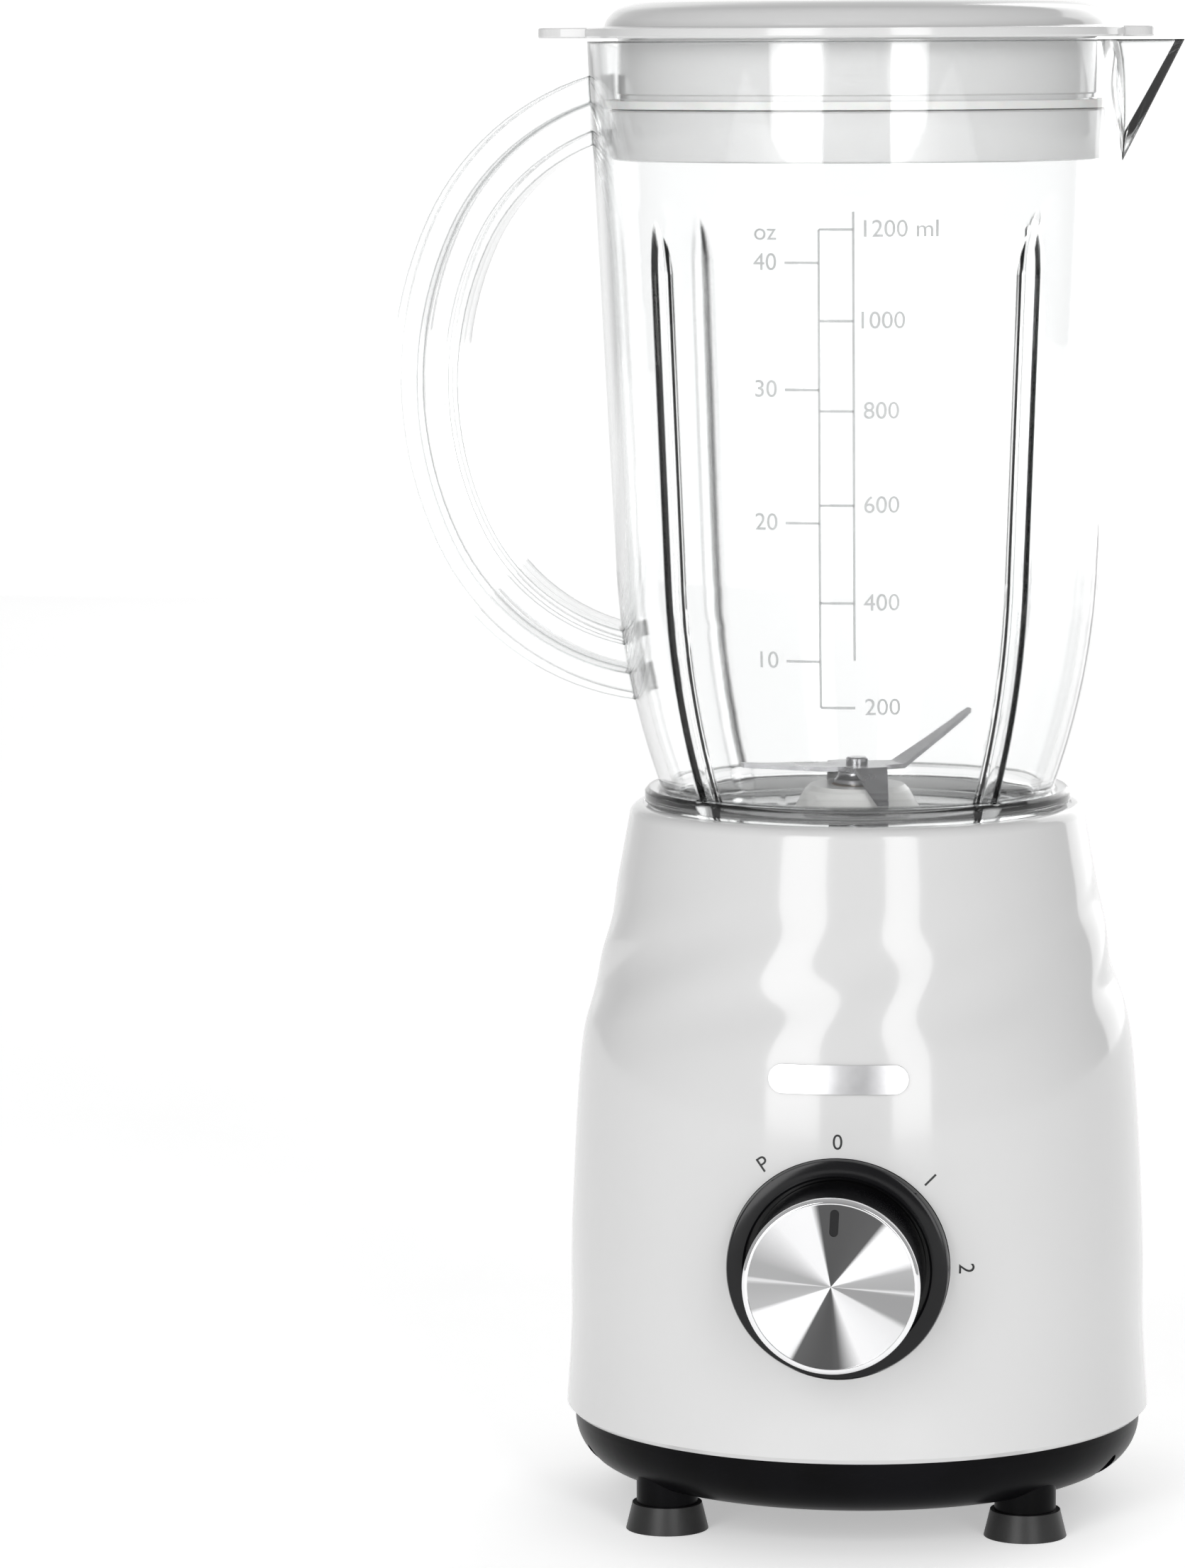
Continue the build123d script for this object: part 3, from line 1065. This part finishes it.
def handle_band(shallow, deep):
    """The closed outline between two depths of the handle, from wall to wall."""
    between = (HANDLE_SWEEP + HANDLE_TURN) / 2
    turns = (HANDLE_SWEEP, between, HANDLE_TURN, 0.0, -HANDLE_TURN, -between, -HANDLE_SWEEP)
    for depth in (shallow, deep):
        spots = [handle_point(depth, turn) for turn in turns]
        for first in (0, 2, 4):
            ThreePointArc(*spots[first:first + 3])
    for turn in (turns[0], turns[-1]):
        Line(handle_point(shallow, turn), handle_point(deep, turn))


def flute_path(sketch_plane, reach_down):
    """The line of one flute: it fades in under the rim and then follows the wall."""
    with BuildLine(sketch_plane) as path:
        top_r = JUG_TOP_R - JUG_TAPER * FLUTE_TOP_DROP
        near_r = top_r - JUG_TAPER * FLUTE_FADE + FLUTE_OUT
        fade = Line((top_r + FLUTE_R + PLAY, FLUTE_TOP_Z), (near_r, FLUTE_TOP_Z - FLUTE_FADE))
        straight = Line(fade @ 1, (JUG_BEND_R + FLUTE_OUT, JUG_BEND_Z))
        low = TangentArc(
            straight @ 1, (JUG_FOOT_R + FLUTE_OUT, JUG_FOOT_Z), tangent=straight % 1
        )
        if reach_down > 0:
            Line(low @ 1, (low @ 1) + (low % 1) * reach_down)
    return path.line


flute_plane = Plane(origin=(0, 0, 0), x_dir=(1, 0, 0), z_dir=(0, -1, 0))
with BuildPart() as flute_groove:
    groove_line = flute_path(flute_plane, 0)
    with BuildSketch(Plane(origin=groove_line @ 0, z_dir=groove_line % 0)):
        Circle(FLUTE_R)
    sweep(path=groove_line, transition=Transition.ROUND)

with BuildPart() as flute_ridge:
    ridge_line = flute_path(flute_plane, 2 * FLOOR_CORNER)
    with BuildSketch(Plane(origin=ridge_line @ 0, z_dir=ridge_line % 0)):
        Circle(FLUTE_R + FLUTE_SKIN)
    sweep(path=ridge_line, transition=Transition.ROUND)

with BuildPart() as jug_cavity:
    with BuildSketch(Plane.XZ):
        with BuildLine():
            inside = Line((JUG_TOP_R - JUG_WALL, JUG_RIM_Z), (JUG_BEND_R - JUG_WALL, JUG_BEND_Z))
            low_r, corner_z = JUG_FOOT_R - JUG_WALL, JUG_FLOOR_Z + FLOOR_CORNER
            TangentArc(inside @ 1, (low_r, corner_z), tangent=inside % 1)
            floor_r = low_r - FLOOR_CORNER + FLOOR_CORNER_CUT
            RadiusArc((low_r, corner_z), (floor_r, JUG_FLOOR_Z), FLOOR_CORNER)
            Polyline((floor_r, JUG_FLOOR_Z), (0, JUG_FLOOR_Z), (0, JUG_RIM_Z), inside @ 0)
        make_face()
    revolve(axis=Axis.Z)

with BuildPart() as ridges_inside:
    with PolarLocations(0, FLUTE_COUNT, start_angle=45):
        add(flute_ridge.part)
    add(jug_cavity.part, mode=Mode.INTERSECT)

with BuildPart() as jug:
    with BuildSketch(Plane.XZ):
        with BuildLine():
            wall = Line((JUG_TOP_R, JUG_RIM_Z), (JUG_BEND_R, JUG_BEND_Z))
            foot = TangentArc((JUG_BEND_R, JUG_BEND_Z), (JUG_FOOT_R, JUG_FOOT_Z), tangent=wall % 1)
            Polyline(
                foot @ 1, (FLANGE_R - FLANGE_BEVEL, JUG_FOOT_Z), (FLANGE_R, JUG_FOOT_Z - FLANGE_BEVEL),
                (FLANGE_R, FLANGE_LOW_Z + FLANGE_BEVEL), (FLANGE_R - FLANGE_BEVEL, FLANGE_LOW_Z),
                (SKIRT_R, FLANGE_LOW_Z), (SKIRT_R, SKIRT_LOW_Z), (SKIRT_R - SKIRT_WALL, SKIRT_LOW_Z),
                (SKIRT_R - SKIRT_WALL, JUG_UNDER_Z), (0, JUG_UNDER_Z), (0, JUG_RIM_Z), wall @ 0,
            )
        make_face()
    revolve(axis=Axis.Z)
    for z, reach, half_w in (
        (JUG_RIM_Z, SPOUT_REACH, SPOUT_HALF_W),
        (BEAK_LOW_Z, jug_inside_r(BEAK_LOW_Z) + JUG_WALL - SPOUT_LOW_SUNK, SPOUT_LOW_W),
    ):
        with BuildSketch(Plane.XY.offset(z)):
            with BuildLine():
                Polyline((BEAK_ROOT_X, half_w), (reach, 0), (BEAK_ROOT_X, -half_w), close=True)
            make_face()
    loft(ruled=True)
    with BuildSketch(Plane.XZ):
        with BuildLine():
            handle_band(0, HANDLE_OUTER_T)
        make_face()
        with BuildLine():
            handle_band(HANDLE_OUTER_T + HANDLE_GAP, HANDLE_OUTER_T + HANDLE_GAP + HANDLE_INNER_T)
        make_face()
    extrude(amount=HANDLE_W / 2, both=True)
    with BuildSketch(Plane.XZ):
        with BuildLine():
            handle_band(HANDLE_OUTER_T / 2, HANDLE_OUTER_T + HANDLE_GAP + HANDLE_INNER_T / 2)
        make_face()
    extrude(amount=HANDLE_WEB_T / 2, both=True)
    add(jug_cavity.part, mode=Mode.SUBTRACT)
    for z, reach, half_w in (
        (JUG_RIM_Z, SPOUT_REACH - JUG_WALL, SPOUT_HALF_W - JUG_WALL),
        (BEAK_LOW_Z, jug_inside_r(BEAK_LOW_Z) - SPOUT_HOLLOW_W, SPOUT_HOLLOW_W),
    ):
        with BuildSketch(Plane.XY.offset(z)):
            with BuildLine():
                Polyline((BEAK_ROOT_X, half_w), (reach, 0), (BEAK_ROOT_X, -half_w), close=True)
            make_face()
    loft(ruled=True, mode=Mode.SUBTRACT)
    add(ridges_inside.part)
    with PolarLocations(0, FLUTE_COUNT, start_angle=45):
        add(flute_groove.part, mode=Mode.SUBTRACT)
    with BuildSketch(Plane.XY.offset(SKIRT_LOW_Z)):
        with PolarLocations(SKIRT_R + (LUG_PROUD - LUG_ROOT) / 2, LUG_COUNT, start_angle=45):
            Rectangle(LUG_PROUD + LUG_ROOT, LUG_W)
    extrude(amount=LUG_H)
    with BuildSketch(Plane.XY.offset(JUG_UNDER_Z)):
        Circle(STEM_R)
    extrude(amount=FLOOR_T, mode=Mode.SUBTRACT)
jug.part.label = "jug"
export_step(jug.part, "parts/jug.step")

# ================================================================ blade_holder and what clamps it
# A white hub on the jug's floor. Its stem goes through the floor, and a nut clamps it from below
# against a silicone gasket. A sintered bush in it carries the blade's shaft.
with BuildPart() as blade_holder:
    with BuildSketch(Plane.XZ):
        with BuildLine():
            Polyline(
                (BUSH_R, STEM_LOW_Z), (STEM_R, STEM_LOW_Z), (STEM_R, JUG_FLOOR_Z),
                (GASKET_IN_R, JUG_FLOOR_Z), (GASKET_IN_R, JUG_FLOOR_Z + GASKET_H),
                (GASKET_OUT_R, JUG_FLOOR_Z + GASKET_H), (GASKET_OUT_R, JUG_FLOOR_Z),
                (HOLDER_R, JUG_FLOOR_Z), (HOLDER_TOP_R, HOLDER_TOP_Z - HOLDER_BEVEL_H),
                (HOLDER_TOP_R - HOLDER_BEVEL, HOLDER_TOP_Z), (BUSH_R, HOLDER_TOP_Z), close=True,
            )
        make_face()
    revolve(axis=Axis.Z)
blade_holder.part.label = "blade_holder"
export_step(blade_holder.part, "parts/blade_holder.step")

with BuildPart() as holder_gasket:
    with BuildSketch(Plane.XY.offset(JUG_FLOOR_Z)):
        Circle(GASKET_OUT_R)
        Circle(GASKET_IN_R, mode=Mode.SUBTRACT)
    extrude(amount=GASKET_H)
holder_gasket.part.label = "holder_gasket"
export_step(holder_gasket.part, "parts/holder_gasket.step")

with BuildPart() as holder_nut:
    with BuildSketch(Plane.XY.offset(NUT_LOW_Z)):
        RegularPolygon(NUT_R, 6)
        Circle(STEM_R, mode=Mode.SUBTRACT)
    extrude(amount=NUT_H)
holder_nut.part.label = "holder_nut"
export_step(holder_nut.part, "parts/holder_nut.step")

with BuildPart() as shaft_bush:
    with BuildSketch(Plane.XY.offset(STEM_LOW_Z)):
        Circle(BUSH_R)
        Circle(SHAFT_R + RUNNING, mode=Mode.SUBTRACT)
    extrude(amount=HOLDER_TOP_Z - STEM_LOW_Z)
shaft_bush.part.label = "shaft_bush"
export_step(shaft_bush.part, "parts/shaft_bush.step")

# ================================================================ blade_shaft, blade_spacer
with BuildPart() as blade_shaft:
    with BuildSketch(Plane.XY.offset(BLADE_SHAFT_Z)):
        Circle(SHAFT_R)
    extrude(amount=BLADE_Z - BLADE_SHAFT_Z)
    with BuildSketch(Plane.XY.offset(BLADE_Z)):
        Circle(TANG_R)
    extrude(amount=BLADE_T)
blade_shaft.part.label = "blade_shaft"
export_step(blade_shaft.part, "parts/blade_shaft.step")

with BuildPart() as blade_spacer:
    with BuildSketch(Plane.XZ):
        with BuildLine():
            Polyline(
                (SHAFT_R, BLADE_Z), (SHAFT_R, SPACER_LOW_Z), (SPACER_R, SPACER_LOW_Z),
                (SPACER_R, SPACER_LOW_Z + SPACER_FOOT_H),
            )
            ThreePointArc(
                (SPACER_R, SPACER_LOW_Z + SPACER_FOOT_H),
                (SPACER_R - SPACER_WAIST, (SPACER_LOW_Z + SPACER_FOOT_H + BLADE_Z) / 2),
                (SPACER_R - SPACER_TOP_INSET, BLADE_Z),
            )
            Line((SPACER_R - SPACER_TOP_INSET, BLADE_Z), (SHAFT_R, BLADE_Z))
        make_face()
    revolve(axis=Axis.Z)
blade_spacer.part.label = "blade_spacer"
export_step(blade_spacer.part, "parts/blade_spacer.step")

# ================================================================ blade
# One stamped cross: a tip bent up, its opposite nearly flat, and the other pair bent down past the
# holder. Each strip is a bent side view cut to the wings' taper.
with BuildPart() as blade:
    for turn, root_r, left, right in (
        (0, BLADE_ROOT_R, (-BLADE_TIP_R, BLADE_LOW), (BLADE_TIP_R, BLADE_HIGH)),
        (90, BLADE_DIP_ROOT_R, (-BLADE_DIP_R, -BLADE_DIP), (BLADE_DIP_R, -BLADE_DIP)),
    ):
        along = BLADE_TURN + turn
        strip_plane = Plane(
            origin=(0, 0, BLADE_Z),
            x_dir=(cos(radians(along)), sin(radians(along)), 0),
            z_dir=(sin(radians(along)), -cos(radians(along)), 0),
        )
        with BuildSketch(strip_plane):
            with BuildLine():
                Polyline(
                    left, (-root_r, 0), (root_r, 0), right, (right[0], right[1] + BLADE_T),
                    (root_r, BLADE_T), (-root_r, BLADE_T), (left[0], left[1] + BLADE_T), close=True,
                )
            make_face()
        extrude(amount=BLADE_ROOT_W / 2, both=True)
    with BuildSketch(Plane.XY.offset(BLADE_Z - 2 * BLADE_DIP)):
        for turn, reach in ((0, BLADE_TIP_R), (90, BLADE_DIP_R)):
            along = radians(BLADE_TURN + turn)
            for way in (1, -1):
                ax, ay = way * cos(along), way * sin(along)
                root_w, tip_w = BLADE_ROOT_W / 2, BLADE_TIP_W / 2
                with BuildLine():
                    Polyline(
                        (-ay * root_w, ax * root_w),
                        (PLATE_R * ax - ay * root_w, PLATE_R * ay + ax * root_w),
                        (reach * ax - ay * tip_w, reach * ay + ax * tip_w),
                        (reach * ax + ay * tip_w, reach * ay - ax * tip_w),
                        (PLATE_R * ax + ay * root_w, PLATE_R * ay - ax * root_w),
                        (ay * root_w, -ax * root_w), close=True,
                    )
                make_face()
        Circle(PLATE_R)
    extrude(amount=4 * BLADE_HIGH, mode=Mode.INTERSECT)
    with BuildSketch(Plane.XY.offset(BLADE_Z)):
        Circle(TANG_R)
    extrude(amount=BLADE_T, mode=Mode.SUBTRACT)
blade.part.label = "blade"
export_step(blade.part, "parts/blade.step")

# ================================================================ blade_rivet
with BuildPart() as blade_rivet:
    with BuildSketch(Plane.XY.offset(BLADE_Z + BLADE_T)):
        Circle(RIVET_R)
    extrude(amount=RIVET_H)
    chamfer(blade_rivet.edges().sort_by(Axis.Z)[-1], length=RIVET_BEVEL)
blade_rivet.part.label = "blade_rivet"
export_step(blade_rivet.part, "parts/blade_rivet.step")

# ================================================================ lid
# A white moulding: a flat dome and flange over the rim with an ear at each end, and a hollow plug
# that steps out to a wider skirt inside the jug.
LID_TOP_Z = LID_Z + LID_FLANGE_T + LID_TOP_H
PLUG_LOW_Z = LID_Z - LID_PLUG_H
SKIRT_END_Z = PLUG_LOW_Z - LID_SKIRT_H
PLUG_R = jug_inside_r(PLUG_LOW_Z) - LID_PLUG_GAP
LID_SKIRT_R = jug_inside_r(SKIRT_END_Z) - LID_SKIRT_GAP
with BuildPart() as lid:
    with BuildSketch(Plane.XZ):
        with BuildLine():
            flange_top_z = LID_Z + LID_FLANGE_T
            Line((0, LID_TOP_Z), (LID_TOP_R, LID_TOP_Z))
            crown_r = LID_DOME_R - LID_BULGE * (LID_DOME_R - LID_TOP_R)
            ThreePointArc(
                (LID_TOP_R, LID_TOP_Z), (crown_r, LID_TOP_Z - LID_BULGE * LID_TOP_H),
                (LID_DOME_R, flange_top_z),
            )
            Polyline(
                (LID_DOME_R, flange_top_z), (LID_FLANGE_R, flange_top_z), (LID_FLANGE_R, LID_Z),
                (PLUG_R, LID_Z), (PLUG_R, PLUG_LOW_Z), (LID_SKIRT_R, PLUG_LOW_Z - LID_STEP_DROP),
                (LID_SKIRT_R, SKIRT_END_Z + LID_SKIRT_BEVEL), (LID_SKIRT_R - LID_SKIRT_BEVEL, SKIRT_END_Z),
                (LID_SKIRT_R - LID_WALL, SKIRT_END_Z), (LID_SKIRT_R - LID_WALL, PLUG_LOW_Z - LID_WALL),
                (PLUG_R - LID_WALL, PLUG_LOW_Z - LID_WALL), (PLUG_R - LID_WALL, LID_TOP_Z - LID_RIM_DROP),
                (LID_TOP_R, LID_TOP_Z - LID_WALL), (0, LID_TOP_Z - LID_WALL), (0, LID_TOP_Z),
            )
        make_face()
    revolve(axis=Axis.Z)
    with BuildSketch(Plane.XY.offset(LID_Z)):
        for way, reach in ((-1, LID_EAR_BACK), (1, LID_EAR_FRONT)):
            root_x, corner_x = way * (LID_DOME_R - LID_EAR_ROOT), way * (reach - LID_EAR_CORNER_L)
            with BuildLine():
                Polyline(
                    (root_x, LID_EAR_W / 2), (corner_x, LID_EAR_W / 2 - LID_EAR_TAPER),
                    (way * reach, LID_EAR_W / 2 - LID_EAR_CORNER),
                    (way * reach, LID_EAR_CORNER - LID_EAR_W / 2),
                    (corner_x, LID_EAR_TAPER - LID_EAR_W / 2), (root_x, -LID_EAR_W / 2), close=True,
                )
            make_face()
    extrude(amount=LID_FLANGE_T)
lid.part.label = "lid"
export_step(lid.part, "parts/lid.step")

# ================================================================ lid_seal
with BuildPart() as lid_seal:
    with BuildSketch(Plane.XY.offset(PLUG_LOW_Z)):
        Circle(jug_inside_r(PLUG_LOW_Z) - PLAY)
        Circle(PLUG_R, mode=Mode.SUBTRACT)
    extrude(amount=SEAL_RING_H)
lid_seal.part.label = "lid_seal"
export_step(lid_seal.part, "parts/lid_seal.step")
